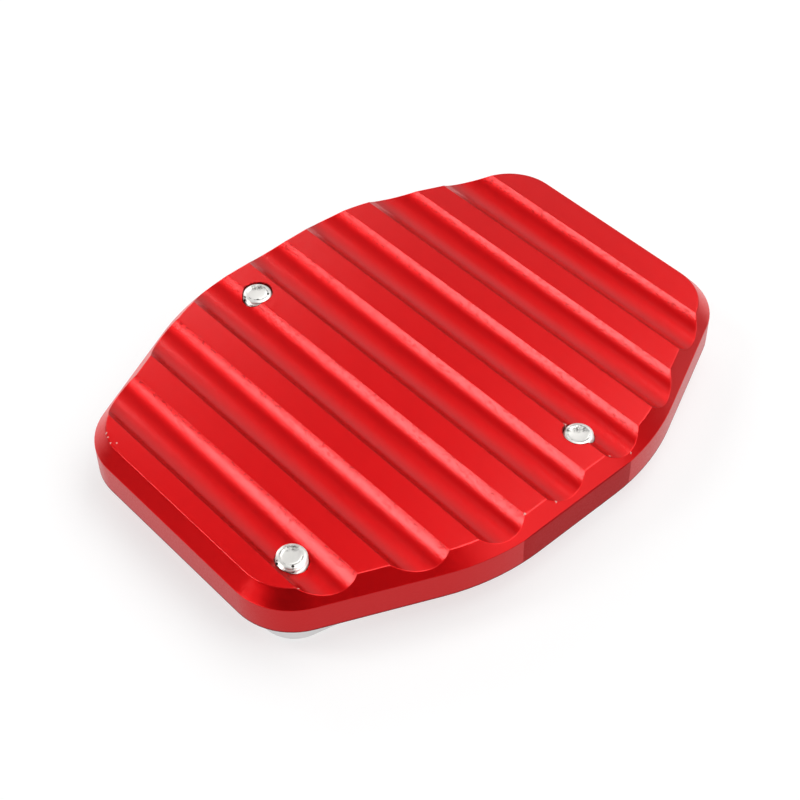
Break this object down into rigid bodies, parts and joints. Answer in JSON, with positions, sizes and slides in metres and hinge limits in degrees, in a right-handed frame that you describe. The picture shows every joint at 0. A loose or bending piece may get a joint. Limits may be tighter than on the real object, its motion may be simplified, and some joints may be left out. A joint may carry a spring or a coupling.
{
  "type": "kickstand foot enlarger",
  "caption": "Long octagonal sole plate with a chamfered edge and scooped grip grooves, screwed to a slotted clamp plate that holds the foot of a motorbike side stand.",
  "frame": {"origin": "middle of the part's plan, on the outer face of the clamp plate that it rests on", "axes": "+Z towards the grooved sole, X along the plate with the slot's mouth towards +X, Y along the grooves"},
  "size_m": [0.1, 0.077, 0.0133],
  "materials": {
    "red_anodised": "satin red anodised, machined",
    "silver_aluminium": "fine machined, natural",
    "screw_steel": "bright zinc-plated steel"
  },
  "bodies": {
    "root": {"sole_plate": "red_anodised", "clamp_plate": "silver_aluminium", "clamp_screws": "screw_steel"}
  },
  "joints": []
}
